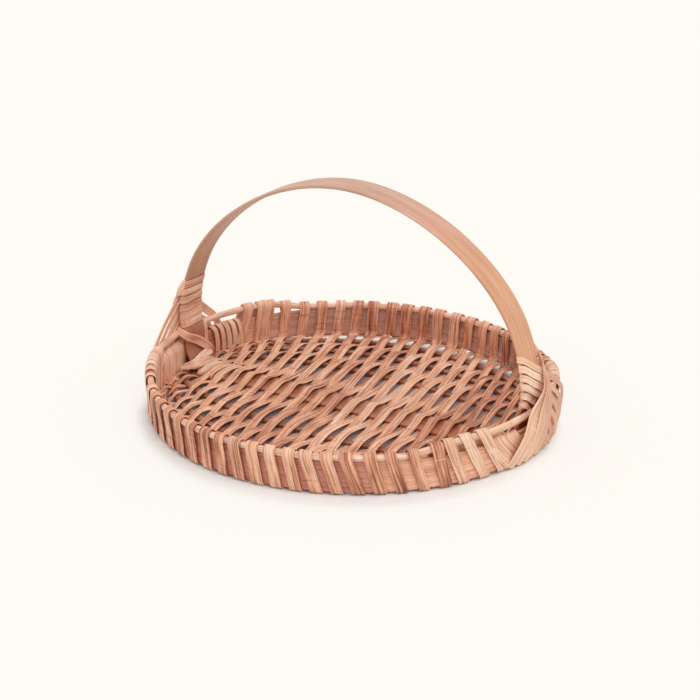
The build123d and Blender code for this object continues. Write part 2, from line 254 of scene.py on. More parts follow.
flatReed = makeWood("smokedFlatReed", flatReedFinish)
lashingReed = makeWood("paleLashingReed", lashingReedFinish)
spineReed = makeWood("paleSpineReed", spineReedFinish)
peeledRod = makeWood("peeledWillowRod", peeledRodFinish)
ribReed = makeWood("ribReedPaintedShade", ribReedFinish)
bentAsh = makeWood("steamedAshBand", bentAshFinish)
handleAsh = makeWood("sandedAshHandle", handleAshFinish)
print("stage: materials made")


# what every strip has: fibres and one wandering split, scales for each metre of its length
stripPattern = {
    "ridgeScale": 28.0, "splitScale": 9.0, "splitPlace": 3.7, "noiseRange": (0.25, 0.75), "splitReach": 0.8,
    "splitWidth": 0.22,
}


# one tree bends every strip: a guide line in, a strip of wood out
def makeStripTree(pattern):
    tree = bpy.data.node_groups.new("bentStrip", "GeometryNodeTree")
    add = functools.partial(addNode, tree)
    face = tree.interface
    floats = ("Width", "Thickness", "Edge Power", "Step", "Ridge Depth", "Ridge Width", "Split Depth")
    kinds = {"Guide": "Geometry", **dict.fromkeys(floats, "Float"), "Facets": "Int", "Wood": "Material"}
    for name, kind in kinds.items():
        face.new_socket(name=name, in_out="INPUT", socket_type="NodeSocket" + kind)
    face.new_socket(name="Strip", in_out="OUTPUT", socket_type="NodeSocketGeometry")
    given = add("NodeGroupInput").outputs

    line = add("MeshToCurve", {"Mesh": given["Guide"]})
    stepped = add("ResampleCurve", {"Curve": line, "Length": given["Step"]}, {"mode": "LENGTH"})
    acrossWay = add("InputNamedAttribute", {"Name": "acrossWay"}, {"data_type": "FLOAT_VECTOR"})
    facing = add("SetCurveNormal", {"Curve": stepped, "Normal": acrossWay}, {"mode": "FREE"})
    lengthSoFar = add("SplineParameter")
    measured = add("StoreNamedAttribute",
                   {"Geometry": facing, "Name": "alongReed", "Value": lengthSoFar.outputs["Length"]},
                   oneNumber)

    # cross-section: |x|^p + |y|^p = 1, from an oval at 2 to nearly square at 8
    ring = add("MeshCircle", {"Vertices": given["Facets"], "Radius": 1.0})
    ringLine = add("MeshToCurve", {"Mesh": ring})
    corner = add("SeparateXYZ", {0: add("InputPosition")})
    acrossShare = corner.outputs["X"]
    flat = add("Math", {0: acrossShare}, unsigned)
    raised = add("Math", {0: flat, 1: given["Edge Power"]}, toPower)
    left = add("Math", {0: 1.0, 1: raised}, {"operation": "SUBTRACT", "use_clamp": True})
    rootPower = add("Math", {0: 1.0, 1: given["Edge Power"]}, divided)
    height = add("Math", {0: left, 1: rootPower}, toPower)
    upper = add("Math", {0: corner.outputs["Y"]}, {"operation": "SIGN"})
    signed = add("Math", {0: height, 1: upper}, times)
    halfWidth = add("Math", {0: given["Width"], 1: 0.5}, times)
    halfThick = add("Math", {0: given["Thickness"], 1: 0.5}, times)
    sectionX = add("Math", {0: acrossShare, 1: halfWidth}, times)
    sectionY = add("Math", {0: signed, 1: halfThick}, times)
    kept = add("StoreNamedAttribute", {"Geometry": ringLine, "Name": "acrossReed", "Value": acrossShare},
               oneNumber)
    section = add("SetPosition",
                  {"Geometry": kept, "Position": add("CombineXYZ", {0: sectionX, 1: sectionY})})
    strip = add("CurveToMesh", {"Curve": measured, "Profile Curve": section, "Fill Caps": True})

    # width that changes along the strip
    share, across, seed, along = [add("InputNamedAttribute", {"Name": name},
                                      oneNumber) for name in ("widthShare", "acrossReed", "reedSeed",
                                                              "alongReed")]
    extra = add("Math", {0: share, 1: 1.0}, minus)
    spread = add("Math", {0: across, 1: halfWidth}, times)
    sideways = add("Math", {0: extra, 1: spread}, times)
    widened = add("VectorMath", {0: acrossWay, "Scale": sideways}, {"operation": "SCALE"})

    # raised fibres, and one split that wanders from side to side
    ridgeAcross = add("Math", {0: spread, 1: given["Ridge Width"]}, divided)
    ridgeAlong = add("Math", {0: along, 1: pattern["ridgeScale"]}, times)
    ridgePlace = add("CombineXYZ", {0: ridgeAlong, 1: ridgeAcross, 2: seed})
    ridges = add("TexNoise", {"Vector": ridgePlace, "Scale": 1.0, "Detail": 1.0})
    centred = add("Math", {0: ridges, 1: 0.5}, minus)
    ridge = add("Math", {0: centred, 1: given["Ridge Depth"]}, times)
    wanderAlong = add("Math", {0: along, 1: pattern["splitScale"]}, times)
    wanderPlace = add("CombineXYZ", {0: wanderAlong, 1: seed, 2: pattern["splitPlace"]})
    wander = add("TexNoise", {"Vector": wanderPlace, "Scale": 1.0, "Detail": 1.0})
    splitPlace = add("MapRange",
                     {"Value": wander, "From Min": pattern["noiseRange"][0],
                      "From Max": pattern["noiseRange"][1], "To Min": -pattern["splitReach"],
                      "To Max": pattern["splitReach"]})
    gap = add("Math", {0: across, 1: splitPlace}, minus)
    away = add("Math", {0: gap}, unsigned)
    groove = add("MapRange",
                 {"Value": away, "From Max": pattern["splitWidth"], "To Min": -1.0, "To Max": 0.0}, smoothly)
    split = add("Math", {0: groove, 1: given["Split Depth"], 2: ridge}, timesPlus)
    outward = add("InputNormal")
    relief = add("VectorMath", {0: outward, "Scale": split}, {"operation": "SCALE"})
    moved = add("VectorMath", {0: widened, 1: relief}, {"operation": "ADD"})
    shaped = add("SetPosition", {"Geometry": strip, "Offset": moved})
    smooth = add("SetShadeSmooth", {"Geometry": shaped})
    real = add("RealizeInstances", {"Geometry": smooth})
    finished = add("SetMaterial", {"Geometry": real, "Material": given["Wood"]})
    add("NodeGroupOutput", {"Strip": finished})
    return tree


stripTree = makeStripTree(stripPattern)


weave = {
    "width": 8.0, "thickness": 1.0, "weavers": 8, "passesEach": 5, "halfLength": 146.0, "sweep": 45.0,
    "lean": 0.09, "gap": 0.5, "wrapSlack": 0.4, "splice": 4.0, "wander": 0.9, "floorRoom": 0.82,
    "frontSlant": (3.5, 10.0), "slantFrom": -10.0, "slantLength": 90.0, "backSlant": 4.5, "step": 1.6,
    "tilt": 0.16, "hoopTilt": 0.4, "hoopArch": 3.6, "ribArch": 2.3, "lashedFrom": 127.0,
    "passShare": 1.15, "leftFuller": 0.0006,
    "wrapShare": 1.34, "wrapEven": 0.55, "wrapSpread": 0.08, "wrapStray": 1.6,
    "endPasses": (151.5, 156.0, 160.5, 165.0, 169.5), "endWidth": 5.4, "endGap": 2.0, "ribRoom": 4.0,
}
reedThick = weave["thickness"]


# a smooth line through stations; each is (point, across, share of the full width)
def smoothStations(stations, step):
    rows = [np.array([*point, *across.normalized(), share]) for point, across, share in stations]
    first = 2 * rows[0] - rows[1]
    last = 2 * rows[-1] - rows[-2]
    rows = [first, *rows, last]
    smooth = []
    for a, b, c, d in zip(rows, rows[1:], rows[2:], rows[3:]):
        knots = [0.0]
        for start, end in ((a, b), (b, c), (c, d)):
            knots.append(knots[-1] + max(0.05, np.linalg.norm(end[:3] - start[:3])) ** 0.5)
        count = max(1, ceil(np.linalg.norm(c[:3] - b[:3]) / step))
        for index in range(count):
            t = knots[1] + (knots[2] - knots[1]) * index / count
            ab = a + (b - a) * (t - knots[0]) / (knots[1] - knots[0])
            bc = b + (c - b) * (t - knots[1]) / (knots[2] - knots[1])
            cd = c + (d - c) * (t - knots[2]) / (knots[3] - knots[2])
            abc = ab + (bc - ab) * (t - knots[0]) / (knots[2] - knots[0])
            bcd = bc + (cd - bc) * (t - knots[1]) / (knots[3] - knots[1])
            smooth.append(abc + (bcd - abc) * (t - knots[1]) / (knots[2] - knots[1]))
    smooth.append(rows[-2])
    for row in smooth:
        row[2] = max(row[2], weave["floorRoom"])
    return [(Vector(row[:3]), Vector(row[3:6]), float(row[6])) for row in smooth]


# a mesh of edges that carries the strips' lines, with their directions as attributes
def makeGuide(name, strips, closed):
    points, edges, ways, shares, seeds = [], [], [], [], []
    for seed, stations in strips:
        start = len(points)
        for point, across, share in stations:
            points.append(point * mm)
            ways += [*across.normalized()]
            shares.append(share)
            seeds.append(seed)
        edges += [(index, index + 1) for index in range(start, len(points) - 1)]
        if closed:
            edges.append((len(points) - 1, start))
    mesh = bpy.data.meshes.new(name)
    mesh.from_pydata(points, edges, [])
    for key, kind, field, values in (("acrossWay", "FLOAT_VECTOR", "vector", ways),
                                     ("widthShare", "FLOAT", "value", shares),
                                     ("reedSeed", "FLOAT", "value", seeds)):
        mesh.attributes.new(key, kind, "POINT").data.foreach_set(field, values)
    return mesh


def makeStrips(name, strips, sizes, wood, nodes, closed=False):
    guide = bpy.data.objects.new(name, makeGuide(name, strips, closed))
    putInScene(guide)
    modifier = guide.modifiers.new("bentStrip", "NODES")
    modifier.node_group = stripTree
    values = {"Edge Power": sizes["edgePower"], "Facets": sizes["facets"], "Wood": wood}
    for key in ("Width", "Thickness", "Step", "Ridge Depth", "Ridge Width", "Split Depth"):
        values[key] = sizes.get(key[0].lower() + key[1:].replace(" ", ""), 0.0) * mm
    for item in stripTree.interface.items_tree:
        if item.in_out == "INPUT" and item.name in values:
            modifier[item.identifier] = values[item.name]
    graph = bpy.context.evaluated_depsgraph_get()
    mesh = bpy.data.meshes.new_from_object(guide.evaluated_get(graph), depsgraph=graph)
    mesh.name = name
    bpy.data.meshes.remove(guide.data)    # and the guide with it
    piece = bpy.data.objects.new(name, mesh)
    putInScene(piece)
    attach(piece, "root")
    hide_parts(*nodes)
    print("piece", name, len(mesh.vertices), "points")


# the rim's curve
rim = {
    "halfLength": 177.0, "halfWidth": 170.0, "bandThickness": 3.0, "bandHeight": 26.3,
    "bandLift": 2.4, "rodDiameter": 6.0, "rodRise": 7.0, "riseStart": 122.0, "riseLength": 36.0,
    "clearance": 0.1, "bandPoints": 720,
    "rodPoints": 90, "rodSpread": (0.94, 1.04), "rodJoint": 0.2, "rodStep": 2.0,
}
rimLength, rimWidth, clearance = rim["halfLength"], rim["halfWidth"], rim["clearance"]
halfBand = rim["bandThickness"] / 2
besideBand = halfBand + clearance + reedThick / 2
underBand = rim["bandLift"] - clearance - reedThick / 2


def rimNormal(angle):
    return Vector((rimWidth * cos(angle), rimLength * sin(angle), 0)).normalized()


def rimPoint(angle, offset, level):
    onCurve = Vector((rimLength * cos(angle), rimWidth * sin(angle), level))
    return onCurve + rimNormal(angle) * offset


def rimAlong(angle):    # towards +X on both sides
    normal = rimNormal(angle)
    along = Vector((normal.y, -normal.x, 0))
    return along if sin(angle) > 0 else -along


rodLevel = rim["bandLift"] + rim["bandHeight"] + clearance + rim["rodDiameter"] / 2


def rodHeight(x):
    return rodLevel + rim["rodRise"] * softStep((abs(x) - rim["riseStart"]) / rim["riseLength"])


def makeBand():
    sizes = {"width": rim["bandHeight"], "thickness": rim["bandThickness"], "edgePower": 7.0, "step": 2.4,
             "facets": 40, "ridgeDepth": 0.12, "ridgeWidth": 2.2}
    middle = rim["bandLift"] + rim["bandHeight"] / 2
    stations = []
    for index in range(rim["bandPoints"]):
        angle = 2 * pi * index / rim["bandPoints"]
        stations.append((rimPoint(angle, 0, middle), upward, 1.0))
    makeStrips("rimBand", [(0.37, stations)], sizes, bentAsh, ["rim_band"], closed=True)


def makeRods():
    sizes = {"width": rim["rodDiameter"], "thickness": rim["rodDiameter"] * 0.96, "edgePower": 2.0,
             "step": rim["rodStep"], "facets": 20, "ridgeDepth": 0.3, "ridgeWidth": 2.0}
    jointAngle = rim["rodJoint"] / rimWidth
    for side, node in ((-1, "rim_rod_front"), (1, "rim_rod_back")):
        draw = random.Random(11 + side)
        stations = []
        for index in range(rim["rodPoints"] + 1):
            angle = side * (jointAngle + (pi - 2 * jointAngle) * index / rim["rodPoints"])
            flat = rimPoint(angle, 0, 0)
            flat.z = rodHeight(flat.x)
            stations.append((flat, upward, draw.uniform(*rim["rodSpread"])))
        name = "rimRodFront" if side < 0 else "rimRodBack"
        line = smoothStations(stations, rim["rodStep"])
        makeStrips(name, [(2.1 + side, line)], sizes, peeledRod, [node])


makeBand()
makeRods()
print("stage: rim made")


# handle hoop
hoop = {
    "width": 28.5, "thickness": 3.2, "halfSpan": 170.4, "springHeight": 71.5, "archRise": 132.2,
    "fullness": 0.4925, "heelRadius": 26.0, "middleLevel": 2.7,
    "bow": 3.6, "bowGrows": (34.0, 52.0), "bowFades": (56.0, 102.0), "archPoints": 120, "heelPoints": 24,
}
halfSpan, spring, heelRadius = hoop["halfSpan"], hoop["springHeight"], hoop["heelRadius"]
heelX, heelZ, halfHoop = halfSpan - heelRadius, hoop["middleLevel"] + heelRadius, hoop["width"] / 2


def bowOut(level):    # the feet lean out a little over the rim before they turn in to the floor
    (low, full), (fades, high) = hoop["bowGrows"], hoop["bowFades"]
    share = (high - level) / (high - fades) if level > fades else (level - low) / (full - low)
    return hoop["bow"] * softStep(share)


def archPoint(share):    # the right half of the arch, 0 at the top and 1 at the spring
    top = spring + hoop["archRise"]
    corners = [(0, top), (hoop["fullness"] * halfSpan, top),
               (halfSpan, spring + hoop["fullness"] * hoop["archRise"]), (halfSpan, spring)]
    weights = [(1 - share) ** 3, 3 * share * (1 - share) ** 2, 3 * share ** 2 * (1 - share), share ** 3]
    return [sum(weight * corner[axis] for weight, corner in zip(weights, corners)) for axis in (0, 1)]


def footPlace(height):    # the handle's middle line at a height
    if height <= spring:
        return halfSpan + bowOut(height)
    above, below = 0.0, 1.0
    for _ in range(40):
        share = (above + below) / 2
        if archPoint(share)[1] > height:
            above = share
        else:
            below = share
    return archPoint(share)[0] + bowOut(height)


def makeHoop():
    sizes = {"width": hoop["width"], "thickness": hoop["thickness"], "edgePower": 6.0, "step": 2.4,
             "facets": 40, "ridgeDepth": 0.1, "ridgeWidth": 3.0}
    half = [archPoint(index / hoop["archPoints"]) for index in range(hoop["archPoints"] + 1)]
    half += [(halfSpan, spring - 2 * index) for index in range(1, int((spring - heelZ) / 2))]
    half = [(x + bowOut(z), z) for x, z in half]
    for index in range(hoop["heelPoints"] + 1):
        turn = -pi / 2 * index / hoop["heelPoints"]
        half.append((heelX + heelRadius * cos(turn), heelZ + heelRadius * sin(turn)))
    half += [(heelX - 4 * index, hoop["middleLevel"]) for index in range(1, int(heelX / 4))]
    loop = half + [(0, hoop["middleLevel"])] + [(-x, z) for x, z in reversed(half[1:])]
    loop = loop[len(half):] + loop[:len(half)]    # its two ends meet under the weave
    stations = [(Vector((x, 0, z)), Vector((0, 1, 0)), 1.0) for x, z in loop]
    makeStrips("handleHoop", [(4.4, stations)], sizes, handleAsh, ["handle_hoop"], closed=True)


makeHoop()
print("stage: handle made")


# ribs
ribs = {
    "perSide": 3, "shrink": 0.76, "width": 5.4, "thickness": 3.2, "reach": 168.0, "end": 161.0,
    "level": 3.1, "underLevel": 0.8, "overLevel": 5.4, "points": 100,
}
allRibs = range(-ribs["perSide"], ribs["perSide"] + 1)    # 0 is the hoop


def ribBulge(rib):    # each gap is narrower than the one before it, outwards from the hoop
    room = rimWidth - halfBand - halfHoop
    return room * (1 - ribs["shrink"] ** abs(rib)) / (1 - ribs["shrink"] ** (ribs["perSide"] + 1))


def ribOffset(rib, x):
    return copysign(halfHoop + ribBulge(rib) * sqrt(1 - (x / ribs["reach"]) ** 2), rib)


def ribAlong(rib, x):
    slope = -copysign(ribBulge(rib), rib) * x / ribs["reach"] ** 2 / sqrt(1 - (x / ribs["reach"]) ** 2)
    return Vector((1, slope, 0)).normalized()


def makeRibs():
    sizes = {"width": ribs["width"], "thickness": ribs["thickness"], "edgePower": 2.6, "step": 2.6,
             "facets": 16, "ridgeDepth": 0.3, "ridgeWidth": 1.4}
    for rib in allRibs:
        if rib == 0:
            continue
        halfAngle = asin(ribs["end"] / ribs["reach"])
        stations = []
        for index in range(ribs["points"] + 1):
            x = ribs["reach"] * sin(halfAngle * (2 * index / ribs["points"] - 1))
            middle = Vector((x, ribOffset(rib, x), ribs["level"]))
            stations.append((middle, upward.cross(ribAlong(rib, x)), 1.0))
        side = "Back" if rib > 0 else "Front"
        node = f"rib_{side.lower()}_{abs(rib)}"
        makeStrips(f"rib{side}{abs(rib)}", [(20.5 + rib, stations)], sizes, ribReed, [node])


makeRibs()
print("stage: ribs made")


# weavers
passTotal = weave["weavers"] * weave["passesEach"]


def passPlace(index):
    share = 1 - 2 * index / (passTotal - 1)
    sweep = radians(weave["sweep"])
    return weave["halfLength"] * sin(sweep * share) / sin(sweep)


def passShare(index):    # narrower reed towards the ears, as a share of the full width
    nearest = min(index, passTotal - 2)
    room = passPlace(nearest) - passPlace(nearest + 1) - weave["gap"]
    return min(weave["width"], room) / weave["width"]


def crossingPlace(index, rib):
    x = passPlace(index)
    for _ in range(6):
        x = passPlace(index) - weave["lean"] * ribOffset(rib, x)
    return x, ribOffset(rib, x)


def rimAngle(index, side):
    x = passPlace(index)
    for _ in range(6):
        y = side * rimWidth * sqrt(1 - (x / rimLength) ** 2)
        x = passPlace(index) - weave["lean"] * y
    return side * acos(x / rimLength)


def hoopOverLevel(index):
    edge = abs(passPlace(index)) + (passShare(index) * weave["width"] + weave["lean"] * hoop["width"]) / 2
    intoHeel = max(0.0, edge - heelX)
    innerRadius = heelRadius - hoop["thickness"] / 2
    top = heelZ - sqrt(innerRadius ** 2 - intoHeel ** 2)
    return top + clearance + reedThick / 2


def passStations(index, startSide, draw):
    share = passShare(index) * (weave["passShare"] - weave["leftFuller"] * passPlace(index))
    stations = []
    for rib in allRibs:
        over = (index + rib + ribs["perSide"]) % 2 == 0
        stray = draw.uniform(-1, 1) * weave["wander"]
        tilt = Vector((0, 0, draw.uniform(-1, 1) * weave["tilt"]))
        if rib == 0:
            level = hoopOverLevel(index) if over else reedThick / 2
            for part in (-1, 0, 1) if over else (-1, 1):    # a strip over the hoop springs up a little
                y = part * (halfHoop + reedThick)
                x = passPlace(index) - weave["lean"] * y + stray
                arch = weave["hoopArch"] * draw.uniform(0.6, 1.2) if part == 0 else 0.0
                if abs(x) > weave["lashedFrom"]:    # under the lashing of the heel
                    arch = 0.0
                stations.append((Vector((x, y, level + arch)), rightward + tilt * weave["hoopTilt"], share))
        else:
            x, y = crossingPlace(index, rib)
            arch = weave["ribArch"] * draw.uniform(0.4, 1.3)
            level = ribs["overLevel"] + arch if over else ribs["underLevel"]
            across = ribAlong(rib, x) + tilt * over
            stations.append((Vector((x + stray, y, level)), across, share))
    return stations if startSide < 0 else stations[::-1]


def wrapStations(bottomAngle, topAngle, innerAngle, share, draw):
    hug = (rim["rodDiameter"] / 2 + weave["wrapSlack"] + reedThick / 2) / cos(pi / 6)
    innerLevel = rim["bandLift"] + reedThick
    over = rodHeight(rimPoint(topAngle, 0, 0).x)
    even, spread = weave["wrapEven"], weave["wrapSpread"]
    share = (even + (1 - even) * share) * weave["wrapShare"] * draw.uniform(1 - spread, 1 + spread)
    topAngle += draw.uniform(-1, 1) * weave["wrapStray"] / rimWidth
    slope = (besideBand + hug) / 2
    path = [(bottomAngle, -besideBand, underBand), (bottomAngle, besideBand, underBand),
            ((bottomAngle + topAngle) / 2, slope, (underBand + over) / 2)]
    for turn in (30, 90, 150):
        path.append((topAngle, hug * cos(radians(turn)), over + hug * sin(radians(turn))))
    path += [((innerAngle + topAngle) / 2, -slope, (innerLevel + over) / 2),
             (innerAngle, -besideBand, innerLevel)]
    return [(rimPoint(*place), rimAlong(place[0]), share) for place in path]


def frontSlant(x):    # steeper towards the right-hand ear
    low, high = weave["frontSlant"]
    return low + (high - low) * softStep((x - weave["slantFrom"]) / weave["slantLength"])


# short strips that close the weave between its last pass and the ear, under the heel of the hoop
def endStations(x, number, draw):
    side = 1 if x > 0 else -1
    share = weave["endWidth"] / weave["width"]
    reach = rimWidth * sqrt(1 - (x / rimLength) ** 2) - halfBand
    reach -= weave["endGap"]
    stations = [(Vector((x, -reach, rim["bandLift"] + 1)), rightward, share)]
    for rib in allRibs:
        over = (number + rib) % 2 == 0
        if rib == 0:
            for y in (-halfHoop, halfHoop):
                stations.append((Vector((x, y, ribs["underLevel"])), rightward, share))
            continue
        y = ribOffset(rib, min(abs(x), ribs["end"] - 1))
        if abs(y) > reach - weave["ribRoom"]:
            continue
        level = ribs["overLevel"] + weave["ribArch"] * draw.uniform(0.2, 0.8) if over else ribs["underLevel"]
        stations.append((Vector((x + draw.uniform(-1, 1), y, level)), ribAlong(rib, side * 150.0), share))
    stations.append((Vector((x, reach, rim["bandLift"] + 1)), rightward, share))
    return stations


border = {
    "points": 15, "reach": 42.0, "inset": 5.8, "stray": 0.6,
    "levels": (3.2, 5.0), "share": 0.8, "spread": 0.1,
}


def borderStations(side, draw):    # one strand along the foot of the band
    stations = []
    for index in range(border["points"]):
        turn = border["reach"] * (2 * index / (border["points"] - 1) - 1)
        angle = radians(turn + (0 if side > 0 else 180))
        offset = draw.uniform(-border["stray"], border["stray"]) - border["inset"]
        place = rimPoint(angle, offset, border["levels"][index % 2])
        stations.append((place, rimNormal(angle), border["share"] + border["spread"] * draw.uniform(-1, 1)))
    return stations


def makeWeavers():
    sizes = {"width": weave["width"], "thickness": reedThick, "edgePower": 4.5,
             "step": weave["step"], "facets": 32, "ridgeDepth": 0.6, "ridgeWidth": 1.3, "splitDepth": 0.35}
    for number in range(weave["weavers"]):
        draw = random.Random(100 + number)
        first = number * weave["passesEach"]
        stations = []
        for index in range(first, first + weave["passesEach"]):
            side = 1 if index % 2 == 0 else -1
            share = passShare(index)
            if index == first:
                angle = rimAngle(index, -side)
                begin = rimPoint(angle, -halfBand - weave["splice"], ribs["overLevel"])
                stations.append((begin, rimAlong(angle), share))
            stations += passStations(index, -side, draw)
            slant = weave["backSlant"] if side > 0 else frontSlant(passPlace(index))
            arriving = rimAngle(index, side)
            leaving = rimAngle(min(index + 1, passTotal - 1), side)
            top = arriving + side * slant / rimLength
            stations += wrapStations(arriving, top, leaving, share, draw)
        lines = [(number * 1.9 + 0.3, stations)]
        if number in (0, weave["weavers"] - 1):
            side = 1 if number == 0 else -1
            for turn, x in enumerate(weave["endPasses"]):
                lines.append((number + 31.7 + turn, endStations(side * x, turn, draw)))
            lines.append((number + 44.2, borderStations(side, draw)))
        strips = [(seed, smoothStations(line, weave["step"])) for seed, line in lines]
        makeStrips(f"weaver{number + 1}", strips, sizes, flatReed, [f"weaver_{number + 1}"])


makeWeavers()
print("stage: weave made")


# ears: made at the right-hand foot, then turned half round for the left-hand one.
# Barbs run to the back of the right-hand foot, and the spine and the fan to its front.
ear = {"seed": 5, "turns": 6, "topLevel": 86.0, "pitch": 7.7, "step": 1.4, "loose": 0.05}
outOfFoot = hoop["thickness"] / 2 + clearance + reedThick / 2
besideFoot = halfHoop + clearance + reedThick / 2


def footRise(height):
    return Vector((footPlace(height + 1) - footPlace(height - 1), 0, 2)).normalized()


def atFoot(away, y, level):
    return Vector((footPlace(level) + away, y, level))


# directions across a strip, from the way it runs and the way it faces
def dress(path, draw):
    stations = []
    for index, (point, facing, share) in enumerate(path):
        before = path[max(index - 1, 0)][0]
        after = path[min(index + 1, len(path) - 1)][0]
        share *= draw.uniform(1 - ear["loose"], 1 + ear["loose"])
        stations.append((point, facing.cross(after - before), share))
    return smoothStations(stations, ear["step"])


coil = {
    "width": 7.2, "stray": 0.5, "wobble": 0.3,
    "tuckIn": 3.0, "roundEdge": 0.5, "turnIn": 2.5, "edgeAway": 0.4,
}


def coilStations(turn, draw):    # one level turn across the inner face, tucked in at both edges
    level = ear["topLevel"] - ear["pitch"] * turn + draw.uniform(-coil["stray"], coil["stray"])
    rise = footRise(level)
    edge, near = besideFoot + coil["roundEdge"], besideFoot - coil["turnIn"]
    stations = []
    for away, y in ((outOfFoot, besideFoot - coil["tuckIn"]), (coil["edgeAway"], edge), (-outOfFoot, near),
                    (-outOfFoot - coil["roundEdge"], 0), (-outOfFoot, -near), (coil["edgeAway"], -edge)):
        height = level + draw.uniform(-coil["wobble"], coil["wobble"])
        stations.append((atFoot(away, y, height), rise, 1.0))
    return smoothStations(stations, ear["step"])


# a place on the hoop's heel: along it from the top of the bend, and away from its middle line
def atHeel(along, away, y):
    bend = heelRadius * pi / 2
    turn = min(along, bend) / heelRadius
    radius = heelRadius + away
    return Vector((heelX + radius * cos(turn) - max(0.0, along - bend), y,
                   heelZ - radius * sin(turn)))


heel = {
    "turns": 4, "start": 22.0, "pitch": 9.4, "slant": 0.9, "width": 7.9, "stray": 0.3, "flatBelow": 8.0,
    "floorRoom": 1.75, "thickness": 2.2, "edgePower": 2.1,
    # once round: outer face 1 or inner face -1, lift off it, place across, share of the slant
    "round": ((1, 0.0, 0.9, 0.0), (0, 0.3, 1.12, 0.0), (-1, -0.6, 0.92, 0.1), (-1, -4.0, 0.0, 0.5),
              (-1, -0.6, -0.92, 0.9), (0, 0.3, -1.12, 1.0), (1, 0.0, -0.9, 0.9)),
}


def heelStations(turn, draw):    # one turn round the heel, slanting across its upper face
    stations = []
    for face, lift, across, slant in heel["round"]:
        away = face * outOfFoot + lift
        along = heel["start"] + heel["pitch"] * (turn + heel["slant"] * slant)
        slope = atHeel(along + 1, away, 0) - atHeel(along - 1, away, 0)
        point = atHeel(along + draw.uniform(-heel["stray"], heel["stray"]), away, across * besideFoot)
        if point.z < heel["flatBelow"]:
            slope.z = 0
        point.z = max(point.z, heel["floorRoom"])
        stations.append((point, slope, draw.uniform(0.9, 1.06)))
    return smoothStations(stations, ear["step"])


# places beside the foot, each with its share of the width: a brace from the outer edge over the
# inner face to the foot of the band, a short tie beside it, and a strip over the top of the heel
braces = {
    "brace": ((176.5, 18, 43, 0.9), (168.6, 14.5, 37, 1.05), (166.6, 0, 29, 1.1), (162.6, -14, 17, 1.0)),
    "braceEnd": (-27.0, -3.4, 4.0, 0.9),    # along the rim, off its middle, level
    "tie": ((176.0, -17.0, 42, 0.8), (172.4, -17.4, 38, 0.85), (171.6, -17.2, 28, 0.9),
            (170.4, -17, 16, 0.85), (168.0, -16, 7, 0.7)),
    "overStart": (173.0, 19, 6.5),
    "over": (((21.5, -3.4, 15.5), (-1, 0, 1), 1.0), ((18.0, -3.8, 0), (-1, 0, 0.8), 1.0),
             ((15.5, -3.4, -14.0), (-1, 0, 0.6), 0.95), ((15.0, 0.0, -17.0), (-0.5, -1, 0.4), 0.8)),
}


def braceStations(draw):
    inward = Vector((-1, 0, 0))
    brace, tie = [[(Vector(place), inward, share) for *place, share in braces[key]]
                  for key in ("brace", "tie")]
    along, offset, level, share = braces["braceEnd"]
    angle = along / rimWidth
    brace.append((rimPoint(angle, offset, level), -rimNormal(angle), share))
    over = [(Vector(braces["overStart"]), Vector((-1, 0, 1)), 0.8)]
    over += [(atHeel(*place), Vector(facing), share) for place, facing, share in braces["over"]]
    return [dress(path, draw) for path in (brace, tie, over)]


barbs = {
    "width": 7.0, "above": 2.0, "drop": 18.0, "farEnd": 61.0, "nextEnd": 9.4, "lowEnd": 3.0,
    "bulges": ((8.2, 0.8), (4.2, 1.15)),    # out from the rim, and fullness: loose at right, tight at left
    "lifts": ((0.7, 0.86), (1.3, 0.86), (2.0, 0.84)), "flatLifts": ((0.6, 0.88),) * 3,
    "throughFoot": 4, "lean": 0.45, "lookUp": 0.5,
    "hidden": ((180.5, 12.5, 71.0), (0.6, -1.0, -8.6)),    # where a lower one comes out, and the next step
    "crest": 41.0, "crestStep": 5.6, "stray": (-1.4, 0.4),
}


# from the back edge of the foot across its outer face
def acrossFoot(turn, lifts):
    level = ear["topLevel"] + barbs["above"] - ear["pitch"] * turn
    path = [(atFoot(-0.6, -besideFoot - 0.7, level), Vector((0, -1, 0)), 0.85)]
    for part, (lift, share) in zip((0.0, 0.5, 1.0), lifts):
        y = (2 * part - 1) * (besideFoot - 0.8)
        path.append((atFoot(outOfFoot + lift, y, level - barbs["drop"] * part), Vector((1, 0, 0.2)), share))
    return path


def barbStations(turn, bulge, fullness, draw):
    reach = (barbs["farEnd"] - barbs["nextEnd"] * turn) / rimWidth
    low = reach - barbs["lowEnd"] / rimWidth
    # each barb is turned a little, so that it lies over the one behind it
    facing = rimNormal(reach) + barbs["lean"] * rimAlong(reach) + Vector((0, 0, barbs["lookUp"]))
    facing.normalize()
    crest = barbs["crest"] - barbs["crestStep"] * turn
    if turn < barbs["throughFoot"]:
        path = acrossFoot(turn, barbs["lifts"])
    else:
        start, step = [Vector(place) for place in barbs["hidden"]]
        path = [(start + step * turn, facing, fullness)]
    stray = draw.uniform(*barbs["stray"])
    path += [(rimPoint(reach * 0.8, bulge * 0.73, crest + 5.5), facing, fullness),
             (rimPoint(reach, bulge + stray, crest - 7), facing, fullness * 1.05),
             (rimPoint(low, bulge - 1.2 + stray, max(8.0, crest - 20)), facing, fullness * 1.05),
             (rimPoint(low, 3.4, 1.6), rimNormal(low), fullness)]
    return dress(path, draw)


spine = {
    "strips": 5, "top": 91.0, "topStep": 1.5, "layer": 0.45, "atRod": (-16.0, 12.0), "atFloor": (-37.0, -3.0),
    # down the outside: part of the way, off the rim's middle, level
    "down": ((0.0, 9.4, 43.0), (0.4, 10.4, 27.0), (0.8, 8.0, 12.0), (1.0, 4.2, 2.1)),
    # two more at the left go out behind the foot: along the rim, off its middle, level, fall of the second
    "behind": ((29, 5.2, 47, 3.2), (38, 4.4, 38, 1.6), (44, 3.2, 22, 0), (46, 2.8, 6, 0)),
}


